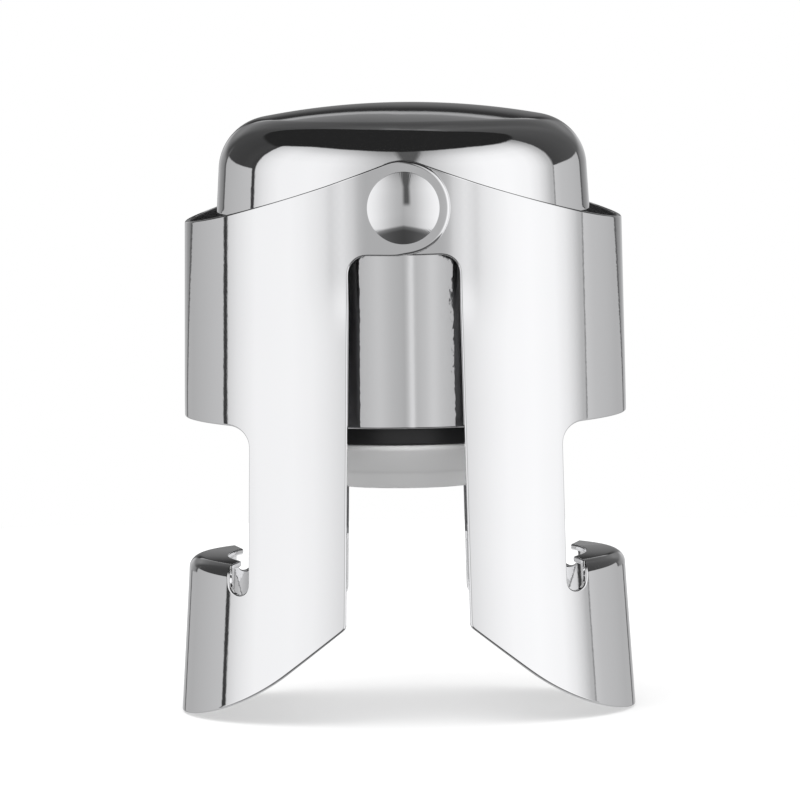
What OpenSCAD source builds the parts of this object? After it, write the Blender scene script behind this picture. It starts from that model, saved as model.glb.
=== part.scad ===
// Champagne stopper: a domed cap on two hinged arms that hook under a bottle's collar, with a sprung seal between them.
// The frame has +Z up and the front towards -Y. Z = 0 is the surface that the arms stand on.

/* [Whole] */
// Height of the pivot axis above the surface that the arms stand on
pivot_z = 51.79; // [48:0.01:56]
// Angle by which each arm stands out from upright, as in the photograph
arm_splay = 1.1; // [0:0.1:4]
// Thickness of the arms' sheet
sheet_t = 0.6; // [0.4:0.05:1]

/* [Arms] */
// Distance of the arms' flat fronts outside the cap
arm_stand = 2.15; // [1.2:0.05:5]
// Bulge of the arms' round sides beyond their flat fronts, at the pivot's height
arm_bulge = 1.05; // [0.6:0.05:3]
// Amount by which an arm's radius is smaller at the side band's lower edge
band_in = 0.12; // [0:0.02:1]
// Amount by which it is smaller at the lip, where it is narrowest
lip_in = 0.75; // [0.2:0.05:1.5]
// Amount by which an arm's radius is larger at the foot than at the lip
foot_out = 0.7; // [0:0.05:2]
// Depth of the lowest point of the foot under the pivot, in the upright arm
foot_drop = 52.25; // [46:0.05:58]
// Running gap between the ears of the two arms
ear_gap = 0.2; // [0.1:0.05:0.5]
// Radius of the ears
ear_r = 4.7; // [3.9:0.05:6]
// Height of the top edge where it meets the ear, above the pivot
top_in_z = 4.38; // [3:0.02:5]
// Distance of that point from the middle plane
top_in_x = 1.7; // [0.5:0.1:3]
// Drop of the top edge under the pivot at the side
top_side_drop = 2.5; // [0:0.1:6]
// Radius of the top edge's shallow curve
top_curve_r = 227; // [80:1:600]
// Half width of the window between the two arms
window_half = 5.43; // [4.8:0.01:9]
// Drop of the window's top edge under the pivot
window_drop = 4.8; // [4.7:0.05:9]
// Radius in the window's top corners
window_corner_r = 1.8; // [0.5:0.1:3]
// Drop of the side band's lower edge under the pivot
band_drop = 22.3; // [16:0.1:28]
// Distance of the strips' outer edges from the middle plane
strip_x = 15.25; // [12:0.05:18]
// Radius between the side band and the strips
band_corner_r = 2.0; // [0.5:0.1:4]

/* [Lip and foot] */
// Drop of the lip's top face under the pivot
lip_drop = 36.4; // [30:0.1:42]
// Radius of the lip's inner edge, which holds the bottle
lip_r = 17.4; // [14:0.05:19]
// Outer radius of the bend between the lip and the wall
lip_bend_r = 1.3; // [0.8:0.05:2]
// Distance of the lip's wall from the middle plane, at the relief notches
lip_wall_x = 17.2; // [16:0.05:20]
// Distance of the lip's ends from the middle plane
lip_end_x = 16.05; // [15:0.05:19]
// Half length of the lip's inner edge, front to rear
lip_end_y = 6.9; // [3:0.1:12]
// Drop of the relief notches' floor under the lip's top face
notch_depth = 2.8; // [1:0.1:6]
// Drop of the foot's inner corner under the pivot
foot_in_drop = 41.9; // [38:0.1:50]
// Slope of the foot's lower edge at its inner corner, in degrees
foot_slope = 39.4; // [15:0.2:60]
// Distance of the point where that slope starts to bend, from the middle plane
foot_bend_x = 11.3; // [7:0.1:18]
// Radius of the foot's lower edge from there on
foot_curve_r = 28; // [12:0.5:80]

/* [Cap] */
// Outer radius of the cap
cap_r = 18.85; // [16:0.05:20]
// Drop of the cap's lower edge under the pivot
cap_drop = 1.75; // [1:0.05:4]
// Height of the cap's top above the pivot
cap_rise = 9.56; // [8.6:0.02:14]
// Radius of the wide sphere that the crown is a part of
crown_sphere_r = 77; // [40:1:200]
// Radius of the cap's shoulder
shoulder_r = 5.4; // [2:0.1:7]
// Angle by which the cap's wall leans inward, in degrees
cap_taper = 3.4; // [0:0.1:6]
// Thickness of the cap's wall
cap_t = 0.6; // [0.4:0.05:1]
// Width of the edge that is rolled inward
cap_roll = 1.1; // [0.7:0.05:2]

/* [Core] */
// Clearance of the core inside the cap
core_clear = 0.05; // [0.02:0.01:0.3]
// Radius of the well in the core
well_r = 12.6; // [8:0.1:13.4]
// Height of the core's rim above the pivot
core_rise = 3.2; // [2:0.1:4.5]
// Drop of the bulkhead's top face under the pivot
bulkhead_drop = 1.2; // [0:0.05:3]
// Thickness of the bulkhead
bulkhead_t = 2.4; // [1:0.1:4]
// Length of the spigot that holds the sleeve, under the cap's edge
spigot_len = 3.4; // [2:0.1:8]
// Wall of that spigot
spigot_wall = 1.6; // [0.8:0.1:4]

/* [Sleeve] */
// Outer radius of the sleeve
sleeve_r = 15.2; // [12:0.05:15.8]
// Thickness of the sleeve's wall
sleeve_t = 0.5; // [0.3:0.05:1]
// Drop of the sleeve's lower edge under the pivot
sleeve_drop = 22.4; // [16:0.1:30]
// Clearance of the sleeve on the core's spigot
sleeve_fit = 0.03; // [0.01:0.01:0.1]

/* [Plunger] */
// Running clearance of the plunger in the sleeve
plunger_gap = 0.3; // [0.1:0.05:0.6]
// Height of the plunger's disc
plunger_h = 3.5; // [2.5:0.1:6]
// Depth of the disc's part that shows under the sleeve
plunger_show = 1.7; // [0.5:0.1:4]
// Radius of the stem
stem_r = 2.3; // [1.5:0.05:4]
// Running clearance of the stem in the core
stem_gap = 0.08; // [0.02:0.01:0.2]
// Length of the stem above the bulkhead
stem_over = 1.9; // [1.4:0.1:3]
// Radius of the retaining clip
clip_r = 4.3; // [3:0.1:7]
// Thickness of the retaining clip
clip_t = 0.8; // [0.4:0.1:1.2]
// Depth of the clip's groove in the stem
clip_groove = 0.6; // [0.3:0.05:1]

/* [Spring] */
// Mean radius of the spring
spring_r = 5.6; // [4:0.1:10]
// Thickness of the spring's wire
spring_wire = 1.0; // [0.5:0.1:1.4]
// Number of turns of the spring
spring_turns = 6; // [3:1:8]

/* [Seal] */
// Amount by which the seal's top is smaller than the plunger
seal_inset = 0.25; // [0:0.05:1]
// Height of the seal's straight top band
seal_band = 0.5; // [0.2:0.1:2]
// Height of the seal's wide cone, with the band
seal_cone_h = 3.1; // [1.5:0.1:6]
// Radius of the seal where its plug starts
plug_top_r = 9.5; // [6:0.1:12]
// Height of the plug
plug_h = 1.75; // [0.8:0.05:5]
// Radius of the plug's lower face
plug_r = 7.6; // [4:0.1:11]
// Radius of the button that holds the seal in the plunger
button_r = 3.0; // [2:0.1:5]
// Height of that button
button_h = 2.0; // [1:0.1:2.2]
// Clearance of the button in the plunger
button_gap = 0.05; // [0.02:0.01:0.2]

/* [Rivets and spacers] */
// Radius of a rivet's head
head_r = 3.6; // [2.5:0.05:4.6]
// Radius of the sphere that the head is a part of
head_sphere_r = 3.85; // [3.6:0.05:8]
// Radius of a rivet's shank
shank_r = 1.6; // [1:0.05:2.2]
// Radial clearance of the ears and spacers on the shank
pin_fit = 0.05; // [0.01:0.01:0.1]
// Axial clearance beside the ears
side_play = 0.06; // [0.02:0.01:0.2]
// Outer radius of a spacer
spacer_r = 3.0; // [2.4:0.05:4]
// Clearance of the spacer in the cap's wall
spacer_fit = 0.05; // [0.02:0.01:0.2]
// Depth of the spacers' seats in the core under the cap's surface
seat_in = 1.85; // [1.2:0.05:3.5]
// Clearance between the rivets and the sleeve's top edge
rivet_clear = 0.3; // [0.1:0.05:1]
// Length of a rivet's shank in the core
shank_in = 3.4; // [1.5:0.1:4]

/* [Hidden] */
$fn = 96;
far = 200;
eps = 0.01;
flat_y = cap_r + arm_stand;
arm_r = flat_y + arm_bulge;
arm_lip_r = arm_r - lip_in;
arm_band_r = arm_r - band_in;
arm_foot_r = arm_lip_r + foot_out;
seat_y = cap_r - seat_in;
shank_end_y = seat_y - shank_in;
// Each arm is set off by this much along Y, so that one ear of each lies over the other's
arm_shift = (sheet_t + ear_gap) / 2;
outer_ear_y = flat_y + arm_shift;
inner_ear_in_y = flat_y - arm_shift - sheet_t;
spacer_out_y = inner_ear_in_y - side_play;
head_base_y = outer_ear_y + side_play;
sleeve_in_r = sleeve_r - sleeve_t;
spigot_r = sleeve_in_r - sleeve_fit;
plunger_r = sleeve_in_r - plunger_gap;
disc_bottom_z = -(sleeve_drop + plunger_show);
disc_top_z = disc_bottom_z + plunger_h;
bulk_top_z = -bulkhead_drop;
bulk_bottom_z = bulk_top_z - bulkhead_t;
core_bottom_z = -cap_drop + cap_t;
spigot_bottom_z = -cap_drop - spigot_len;
seal_r = plunger_r - seal_inset;
stem_top_z = bulk_top_z + stem_over;
foot_in_slope = tan(foot_slope);
foot_bend_z = -foot_in_drop - (foot_bend_x - window_half) * foot_in_slope;
foot_cx = foot_bend_x + foot_curve_r * sin(foot_slope);
foot_cz = foot_bend_z + foot_curve_r * cos(foot_slope);
arm_top_z = ear_r + 3;
// The flat fronts end a little under the window's top corners
flat_drop = window_drop + window_corner_r + 0.4;
spring_bottom_z = disc_top_z;
spring_top_z = bulk_bottom_z;
spring_rise = (spring_top_z - spring_bottom_z - spring_wire) / spring_turns;
spring_clearance = 0.02;
lip_root = 0.1;
hole_reach = 3;

module at_pivot() { translate([0, 0, pivot_z]) children(); }

// Front view of one arm, with x outward from the middle plane and y as height over the pivot

module top_cut() {
    dx = arm_r - top_in_x;
    dz = top_in_z + top_side_drop;
    chord = sqrt(dx * dx + dz * dz);
    rise = sqrt(top_curve_r * top_curve_r - chord * chord / 4);
    mx = (arm_r + top_in_x) / 2;
    mz = (top_in_z - top_side_drop) / 2;
    translate([mx + dz / chord * rise, mz + dx / chord * rise]) circle(r = top_curve_r, $fn = 720);
}

module arm_front() {
    difference() {
        union() {
            circle(r = ear_r);
            difference() {
                translate([0, -foot_drop - 1]) square([far / 4, foot_drop + 1 + ear_r]);
                top_cut();
                // the window, with a round corner
                difference() {
                    translate([-1, -far]) square([window_half + 1, far - window_drop]);
                    translate([window_half - window_corner_r, -window_drop - window_corner_r]) difference() {
                        square([window_corner_r + eps, window_corner_r + eps]);
                        circle(r = window_corner_r);
                    }
                }
                // the waist, open at the side between the band and the lip
                difference() {
                    translate([strip_x, -lip_drop - eps]) square([far / 4, lip_drop - band_drop + eps]);
                    translate([strip_x - eps, -band_drop - band_corner_r]) difference() {
                        square([band_corner_r + eps, band_corner_r + eps]);
                        translate([band_corner_r + eps, 0]) circle(r = band_corner_r);
                    }
                }
                // the relief notch at the lip's end
                translate([strip_x, -lip_drop - notch_depth + (lip_wall_x - strip_x) / 2]) square([lip_wall_x - strip_x, notch_depth]);
                translate([(strip_x + lip_wall_x) / 2, -lip_drop - notch_depth + (lip_wall_x - strip_x) / 2]) circle(r = (lip_wall_x - strip_x) / 2);
                // the foot's lower edge: straight at first, then round
                polygon([[-1, -foot_in_drop + (window_half + 1) * foot_in_slope], [-1, -far], [foot_bend_x, -far], [foot_bend_x, foot_bend_z]]);
                difference() {
                    translate([foot_bend_x - eps, -far]) square([far, far + foot_bend_z + eps]);
                    translate([foot_cx, foot_cz]) circle(r = foot_curve_r, $fn = 240);
                }
            }
        }
        circle(r = shank_r + pin_fit);
    }
}

// Solid inside an arm's outer face, made smaller by d
module arm_body(d) {
    rotate_extrude($fn = 144) polygon([
        [0, -foot_drop - 2],
        [arm_foot_r - d + (arm_foot_r - arm_lip_r) * 2 / (foot_drop - lip_drop), -foot_drop - 2],
        [arm_lip_r - d, -lip_drop],
        [arm_band_r - d, -band_drop],
        [arm_r - d + band_in * arm_top_z / band_drop, arm_top_z],
        [0, arm_top_z]
    ]);
}

// The fronts are flat above the window, so that the ears can turn on each other
module arm_space(d) {
    intersection() {
        arm_body(d);
        union() {
            translate([-far / 2, -flat_y + d, -far]) cube([far, 2 * (flat_y - d), far * 2]);
            translate([-far / 2, -far / 2, -far - flat_drop]) cube([far, far, far]);
        }
    }
}

// The wall's bend and the lip, as a profile turned about the axis
module lip_profile() {
    r_out = arm_lip_r;
    in_bend = lip_bend_r - sheet_t;
    difference() {
        union() {
            translate([lip_r, -lip_drop - sheet_t]) square([r_out - lip_bend_r - lip_r, sheet_t]);
            translate([r_out - lip_bend_r, -lip_drop - lip_bend_r]) intersection() {
                circle(r = lip_bend_r);
                square([lip_bend_r, lip_bend_r]);
            }
            // a root inside the wall
            translate([r_out - sheet_t + lip_root, -lip_drop - lip_bend_r - 4 * lip_root]) square([sheet_t - 2 * lip_root, 5 * lip_root]);
        }
        translate([r_out - lip_bend_r, -lip_drop - lip_bend_r]) circle(r = in_bend);
    }
}

module lip_plan() {
    wall_x = lip_wall_x + lip_root;
    wall_y = sqrt(arm_lip_r * arm_lip_r - wall_x * wall_x);
    // each end runs on past the wall along its own line
    out_x = wall_x + (wall_x - lip_end_x);
    out_y = wall_y + (wall_y - lip_end_y);
    polygon([[far / 4, -out_y], [out_x, -out_y], [lip_end_x, -lip_end_y], [lip_end_x, lip_end_y], [out_x, out_y], [far / 4, out_y]]);
}

module arm() {
    intersection() {
        difference() {
            arm_space(0);
            arm_space(sheet_t);
            // room for the lip's bend, which replaces the wall's top
            translate([lip_wall_x - eps, -far / 2, -lip_drop - lip_bend_r]) cube([far, far, lip_bend_r + 1]);
        }
        translate([0, far / 2, 0]) rotate([90, 0, 0]) linear_extrude(height = far) arm_front();
    }
    intersection() {
        rotate_extrude($fn = 144) lip_profile();
        translate([0, 0, -lip_drop - 2 * lip_bend_r]) linear_extrude(height = 2 * lip_bend_r + 1) lip_plan();
    }
}

module posed_arm() {
    at_pivot() rotate([0, -arm_splay, 0]) translate([0, arm_shift, 0]) arm();
}

module right_arm() {
    color([0.80, 0.82, 0.85]) posed_arm();
}

module left_arm() {
    color([0.72, 0.76, 0.82]) rotate([0, 0, 180]) posed_arm();
}

// Radius of the cap's leaning wall at a height, made smaller by d
function cap_wall(z, d) = cap_r - d / cos(cap_taper) - (z + cap_drop - cap_roll / 2) * tan(cap_taper);

// Section of the cap's outer face, made smaller by d. The shoulder's circle touches both the crown and the wall.
module cap_section(d) {
    low = -cap_drop - 1;
    crown_z = cap_rise - crown_sphere_r;
    lean = tan(cap_taper);
    a = cap_wall(0, shoulder_r);
    b = crown_z + a * lean;
    reach = crown_sphere_r - shoulder_r;
    cz = (b + sqrt(b * b - (1 + lean * lean) * (a * a + crown_z * crown_z - reach * reach))) / (1 + lean * lean);
    cx = a - cz * lean;
    turn = atan2(cz - crown_z, cx);
    // where the shoulder meets the crown and the wall
    crown_x = cx + (shoulder_r - d) * cos(turn);
    crown_end = cz + (shoulder_r - d) * sin(turn);
    wall_x = cx + (shoulder_r - d) * cos(cap_taper);
    wall_end = cz + (shoulder_r - d) * sin(cap_taper);
    polygon([[0, low], [cap_wall(low, d), low], [wall_x, wall_end], [0, wall_end]]);
    translate([cx, cz]) circle(r = shoulder_r - d);
    intersection() {
        translate([0, crown_z]) circle(r = crown_sphere_r - d, $fn = 720);
        translate([0, low]) square([crown_x, cap_rise + 1 - low]);
    }
}

module cap() {
    color([0.86, 0.87, 0.88]) at_pivot() difference() {
        rotate_extrude($fn = 144) union() {
            difference() {
                intersection() {
                    cap_section(0);
                    translate([0, -cap_drop + cap_roll / 2]) square([far, far]);
                }
                cap_section(cap_t);
            }
            translate([cap_r - cap_roll, -cap_drop]) square([cap_roll / 2, cap_t]);
            intersection() {
                translate([cap_r - cap_roll / 2, -cap_drop + cap_roll / 2]) circle(r = cap_roll / 2);
                translate([cap_r - cap_roll / 2, -cap_drop]) square([cap_roll, cap_roll / 2]);
            }
            // a short root that joins the rolled edge to the wall
            translate([cap_r - cap_t + cap_t / 4, -cap_drop + cap_roll / 2 - cap_t / 4]) square([cap_t / 2, cap_t / 2]);
        }
        // holes for the spacers
        for (s = [-1, 1]) rotate([90, 0, 0]) translate([0, 0, s > 0 ? cap_r - hole_reach : -cap_r - hole_reach]) cylinder(r = spacer_r + spacer_fit, h = 2 * hole_reach);
    }
}

module core() {
    color([0.14, 0.14, 0.15]) at_pivot() difference() {
        union() {
            translate([0, 0, core_bottom_z]) cylinder(r1 = cap_wall(core_bottom_z, cap_t + core_clear), r2 = cap_wall(core_rise, cap_t + core_clear), h = core_rise - core_bottom_z);
            translate([0, 0, spigot_bottom_z]) cylinder(r = spigot_r, h = core_rise - spigot_bottom_z);
        }
        // the well above the bulkhead and the spring's pocket under it
        translate([0, 0, bulk_top_z]) cylinder(r = well_r, h = far);
        translate([0, 0, spigot_bottom_z - 1]) cylinder(r = spigot_r - spigot_wall, h = bulk_bottom_z - spigot_bottom_z + 1);
        translate([0, 0, -far / 2]) cylinder(r = stem_r + stem_gap, h = far);
        // seats for the spacers and holes for the rivets
        for (s = [-1, 1]) {
            rotate([90, 0, 0]) translate([0, 0, s > 0 ? seat_y : -seat_y - 10]) cylinder(r = spacer_r + spacer_fit, h = 10);
            rotate([90, 0, 0]) translate([0, 0, s > 0 ? shank_end_y : -seat_y - 10]) cylinder(r = shank_r, h = seat_y + 10 - shank_end_y);
        }
    }
}

module sleeve() {
    top = min(core_bottom_z, -shank_r - rivet_clear);
    color([0.78, 0.80, 0.80]) at_pivot() translate([0, 0, -sleeve_drop]) difference() {
        cylinder(r = sleeve_r, h = sleeve_drop + top);
        translate([0, 0, -1]) cylinder(r = sleeve_in_r, h = sleeve_drop + top + 2);
    }
}

module plunger() {
    color([0.10, 0.10, 0.11]) at_pivot() difference() {
        union() {
            translate([0, 0, disc_bottom_z]) cylinder(r = plunger_r, h = plunger_h);
            translate([0, 0, disc_bottom_z]) cylinder(r = stem_r, h = stem_top_z - disc_bottom_z);
        }
        translate([0, 0, disc_bottom_z - 1]) cylinder(r = button_r + button_gap, h = button_h + button_gap + 1);
        // the clip's groove
        translate([0, 0, bulk_top_z]) difference() {
            cylinder(r = stem_r + 1, h = clip_t);
            translate([0, 0, -1]) cylinder(r = stem_r - clip_groove, h = clip_t + 2);
        }
    }
}

module retaining_clip() {
    color([0.55, 0.56, 0.58]) at_pivot() translate([0, 0, bulk_top_z]) difference() {
        cylinder(r = clip_r, h = clip_t - spring_clearance);
        translate([0, 0, -1]) cylinder(r = stem_r - clip_groove + spring_clearance, h = clip_t + 2);
        translate([0, -(stem_r - clip_groove), -1]) cube([far, 2 * (stem_r - clip_groove), clip_t + 2]);
    }
}

// The spring's turns lie as rings, each joined to the next by a short riser
module spring() {
    ring_n = spring_turns + 1;
    color([0.62, 0.64, 0.66]) at_pivot() for (i = [0 : ring_n - 1]) {
        z = spring_bottom_z + spring_wire / 2 + i * spring_rise;
        translate([0, 0, z]) rotate_extrude() translate([spring_r, 0]) circle(r = spring_wire / 2, $fn = 24);
        if (i < ring_n - 1) rotate([0, 0, i * 180]) translate([spring_r, 0, z]) cylinder(r = spring_wire * 0.45, h = spring_rise);
    }
}

module seal() {
    z0 = disc_bottom_z;
    color([0.72, 0.74, 0.74]) at_pivot() rotate_extrude() polygon([
        [0, z0 + button_h], [button_r, z0 + button_h], [button_r, z0],
        [seal_r, z0], [seal_r, z0 - seal_band], [plug_top_r, z0 - seal_cone_h],
        [plug_r, z0 - seal_cone_h - plug_h], [0, z0 - seal_cone_h - plug_h]
    ]);
}

module rivets() {
    cut = sqrt(head_sphere_r * head_sphere_r - head_r * head_r);
    color([0.88, 0.88, 0.90]) at_pivot() for (a = [0, 180]) rotate([90, 0, a]) {
        translate([0, 0, shank_end_y]) cylinder(r = shank_r, h = head_base_y - shank_end_y + eps);
        intersection() {
            translate([0, 0, head_base_y - cut]) sphere(r = head_sphere_r);
            translate([0, 0, head_base_y]) cylinder(r = head_r + 1, h = head_sphere_r);
        }
    }
}

module spacers() {
    color([0.20, 0.20, 0.21]) at_pivot() for (a = [0, 180]) rotate([90, 0, a]) translate([0, 0, seat_y]) difference() {
        cylinder(r = spacer_r, h = spacer_out_y - seat_y);
        translate([0, 0, -1]) cylinder(r = shank_r + pin_fit, h = spacer_out_y - seat_y + 2);
    }
}

cap();
core();
sleeve();
plunger();
retaining_clip();
spring();
seal();
left_arm();
right_arm();
rivets();
spacers();
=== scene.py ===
# %% [markdown]
# # A chromed champagne stopper
# The stopper is a small machine: a domed cap, two arms that swing on rivets and hook under a bottle's collar, and a
# sprung seal between them. The CAD model already holds every piece at its true size and place. This lesson gives the
# pieces their finished surfaces, since mirror chrome shows every corner that is too sharp and every face that is flat.

# %% Load the CAD model
import math

import bpy
import numpy as np
from mathutils import Matrix, Vector, geometry


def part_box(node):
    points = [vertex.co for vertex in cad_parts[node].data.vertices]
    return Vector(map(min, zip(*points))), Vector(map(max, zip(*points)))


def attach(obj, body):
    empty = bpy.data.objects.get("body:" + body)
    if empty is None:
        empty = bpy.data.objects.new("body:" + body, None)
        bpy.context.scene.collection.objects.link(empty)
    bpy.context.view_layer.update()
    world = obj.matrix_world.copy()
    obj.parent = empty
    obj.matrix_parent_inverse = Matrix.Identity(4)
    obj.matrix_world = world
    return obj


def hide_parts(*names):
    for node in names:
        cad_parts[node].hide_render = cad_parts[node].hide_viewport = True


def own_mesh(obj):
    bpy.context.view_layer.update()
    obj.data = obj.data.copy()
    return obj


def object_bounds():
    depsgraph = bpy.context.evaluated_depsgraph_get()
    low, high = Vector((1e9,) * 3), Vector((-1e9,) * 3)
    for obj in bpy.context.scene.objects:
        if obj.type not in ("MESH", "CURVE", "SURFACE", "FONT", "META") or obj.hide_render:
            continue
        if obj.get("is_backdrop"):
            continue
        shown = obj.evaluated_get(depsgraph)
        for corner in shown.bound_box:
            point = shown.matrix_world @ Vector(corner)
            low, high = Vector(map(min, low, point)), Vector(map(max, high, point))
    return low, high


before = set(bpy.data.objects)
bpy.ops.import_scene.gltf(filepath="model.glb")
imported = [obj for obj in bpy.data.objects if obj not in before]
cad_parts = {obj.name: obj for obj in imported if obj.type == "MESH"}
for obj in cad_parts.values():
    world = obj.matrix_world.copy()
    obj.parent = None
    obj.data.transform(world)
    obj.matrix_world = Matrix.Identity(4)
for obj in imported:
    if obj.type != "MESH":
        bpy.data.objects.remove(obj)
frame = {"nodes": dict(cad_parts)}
cad_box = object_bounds()
MM = 0.001
print("nodes:", ", ".join(frame["nodes"]))

# %% [markdown]
# ## Sizes
# The same sizes as in the CAD source, in millimetres. Heights are measured from the pivot axis, since nearly all of the
# stopper hangs from it. They could be read off the meshes, but a named size is easier to follow in a formula.

# %% Sizes of the arms
PIVOT_Z = 51.79
SPLAY = math.radians(1.1)
SHEET = 0.6
EAR_SHIFT = 0.4
ARM_R, BAND_R, LIP_WALL_R, FOOT_R = 22.05, 21.93, 21.3, 22.0
LIP_DROP, FOOT_DROP = 36.4, 52.25
FLAT_Y = 21.0
EAR_R, PIN_HOLE_R = 4.7, 1.65
TOP_IN, TOP_SIDE_DROP, TOP_CURVE_R = (1.7, 4.38), 2.5, 227.0
WINDOW_HALF, WINDOW_DROP, WINDOW_CORNER_R = 5.43, 4.8, 1.8
BAND_DROP, STRIP_X, BAND_CORNER_R = 22.3, 15.25, 2.0
LIP_R, BEND_R, LIP_END_X, LIP_END_Y = 17.4, 1.3, 16.05, 6.9
NOTCH_X, NOTCH_DEPTH = 17.2, 2.8
FOOT_IN_DROP, FOOT_SLOPE, FOOT_BEND_X, FOOT_CURVE_R = 41.9, math.radians(39.4), 11.3, 28.0
BEND_Z = -LIP_DROP - BEND_R
print(f"arms: {2 * ARM_R:.1f} mm across, {FOOT_DROP + EAR_R:.1f} mm tall, {SHEET} mm sheet")

# %% [markdown]
# ## Meshes from arrays
# Every new surface here is worked out as whole numpy arrays and handed to Blender in one go. A mirror also needs exact
# normals: each vertex gets the normal of the true surface, so that reflections stay smooth between the vertices.

# %% One helper for all meshes
def make_piece(name, points_mm, faces, normals):
    """Makes an object at the origin from points in mm, faces as lists of point numbers, and one true normal for each
    point."""
    mesh = bpy.data.meshes.new(name)
    mesh.from_pydata((np.asarray(points_mm) * MM).tolist(), [], faces)
    mesh.shade_smooth()
    mesh.normals_split_custom_set_from_vertices(np.asarray(normals).tolist())
    piece = bpy.data.objects.new(name, mesh)
    bpy.context.scene.collection.objects.link(piece)
    print(f"{name}: {len(mesh.vertices)} points, {len(faces)} faces")
    return piece


def unit(v):
    """Each row divided by its own length."""
    return v / np.maximum(np.linalg.norm(v, axis=-1, keepdims=True), 1e-12)


# %% [markdown]
# ## Turned pieces
# The cap, sleeve, plunger, seal and rivets are round. On a lathe they would be cut along a profile, and that is how they
# are made here: a profile of radius and height, with each corner rounded by its own small radius, is turned about the
# axis. The rounded corners matter most, because on chrome each one catches a thin bright line.

# %% Rounding a profile
def rounded(corners, steps=8):
    """A polyline of (radius, height, rounding) made into a fine one. At each corner an arc of the given rounding touches
    both sides: it starts and ends at rounding * tan(turn / 2) from the corner, and is followed in equal steps."""
    corners = np.asarray(corners, float)
    p = corners[:, :2]
    out = [p[:1]]
    for a, b, c, r in zip(p[:-2], p[1:-1], p[2:], corners[1:-1, 2]):
        u, w = unit(b - a), unit(c - b)
        turn = math.acos(float(np.clip(u @ w, -1, 1)))
        if r <= 0 or turn < 1e-3:
            out.append(b[None])
            continue
        reach = r * math.tan(turn / 2)
        side = unit(w - u * (u @ w))
        centre = b - u * reach + side * r
        angle = np.linspace(0, turn, steps + 1)[:, None]
        out.append(centre + r * (u * np.sin(angle) - side * np.cos(angle)))
    out.append(p[-1:])
    return np.vstack(out)


def finer(profile, longest=0.8):
    """The same polyline with extra points, so that no step is longer than this many mm."""
    steps = np.linalg.norm(np.diff(profile, axis=0), axis=1)
    along = np.concatenate([[0], np.cumsum(steps)])
    counts = np.maximum(np.ceil(steps / longest).astype(int), 1)
    parts = [np.linspace(a, b, n, endpoint=False) for a, b, n in zip(along[:-1], along[1:], counts)]
    at = np.concatenate(parts + [along[-1:]])
    return np.column_stack([np.interp(at, along, profile[:, k]) for k in (0, 1)])


# %% Turning a profile about the axis
def turned(profile, around=192, closed=False):
    """Point (i, j) lies at (r_i cos a_j, r_i sin a_j, z_i). Its normal is the profile's own normal, which is the tangent
    turned by a quarter turn, carried round by the same angle. The profile runs so that the solid is on its left. A point
    on the axis is one pole."""
    profile = np.asarray(profile, float)
    keep = np.concatenate([[True], np.linalg.norm(np.diff(profile, axis=0), axis=1) > 1e-6])
    r, z = profile[keep].T
    if closed:
        r, z = r[:-1], z[:-1]
    ahead = np.roll(np.column_stack([r, z]), -1, axis=0) - np.column_stack([r, z])
    behind = np.roll(ahead, 1, axis=0)
    if not closed:
        ahead[-1], behind[0] = behind[-1], ahead[0]
    tangent = unit(unit(ahead) + unit(behind))
    n_r, n_z = -tangent[:, 1], tangent[:, 0]
    pole = r < 1e-9
    n_r = np.where(pole, 0, n_r)
    a = np.linspace(0, 2 * math.pi, around, endpoint=False)
    points = np.stack([r[:, None] * np.cos(a), r[:, None] * np.sin(a), z[:, None] + 0 * a], axis=-1)
    normals = np.stack([n_r[:, None] * np.cos(a), n_r[:, None] * np.sin(a), n_z[:, None] + 0 * a], axis=-1)
    number = np.arange(points.shape[0] * around).reshape(-1, around)
    number[pole] = number[pole][:, :1]
    nxt = np.roll(number, -1, axis=0) if closed else number[1:]
    cur = number if closed else number[:-1]
    quads = np.stack([cur, nxt, np.roll(nxt, -1, axis=1), np.roll(cur, -1, axis=1)], axis=-1).reshape(-1, 4)
    used, flat = np.unique(quads, return_inverse=True)
    quads = flat.reshape(-1, 4)
    faces = [list(dict.fromkeys(q)) for q in quads.tolist()]
    return points.reshape(-1, 3)[used], faces, unit(normals.reshape(-1, 3)[used])


def outward(points, faces):
    """Signed volume of a closed surface: positive when its faces point outwards."""
    tri = np.array([[f[0], f[k], f[k + 1]] for f in faces for k in range(1, len(f) - 1)])
    a, b, c = points[tri[:, 0]], points[tri[:, 1]], points[tri[:, 2]]
    return float(np.einsum("ij,ij->i", a, np.cross(b, c)).sum() / 6)


def turned_piece(name, profile, around=192, closed=False):
    """A turned piece on the stopper's own axis, with heights from the pivot."""
    points, faces, normals = turned(profile, around, closed)
    volume = outward(points, faces)
    print(f"{name}: volume {volume:.1f} mm3")
    if volume < 0:
        faces, normals = [f[::-1] for f in faces], -normals
    return make_piece(name, points + [0, 0, PIVOT_Z], faces, normals)


# %% [markdown]
# ### Cap
# The cap is pressed from sheet: a barely crowned top, a full shoulder and a straight wall whose edge is rolled inward.
# The camera sees the crown edge-on, so its soft rim is what draws the bright line round the top.

# %% Make the cap
CAP_R, CAP_DROP, CAP_RISE, CROWN_R, SHOULDER_R, CAP_T, CAP_ROLL = 18.85, 1.75, 9.56, 77.0, 5.4, 0.6, 1.1
CAP_LEAN = math.radians(3.4)
ROLL_R, ROLL_Z = CAP_ROLL / 2, -CAP_DROP + CAP_ROLL / 2


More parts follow.
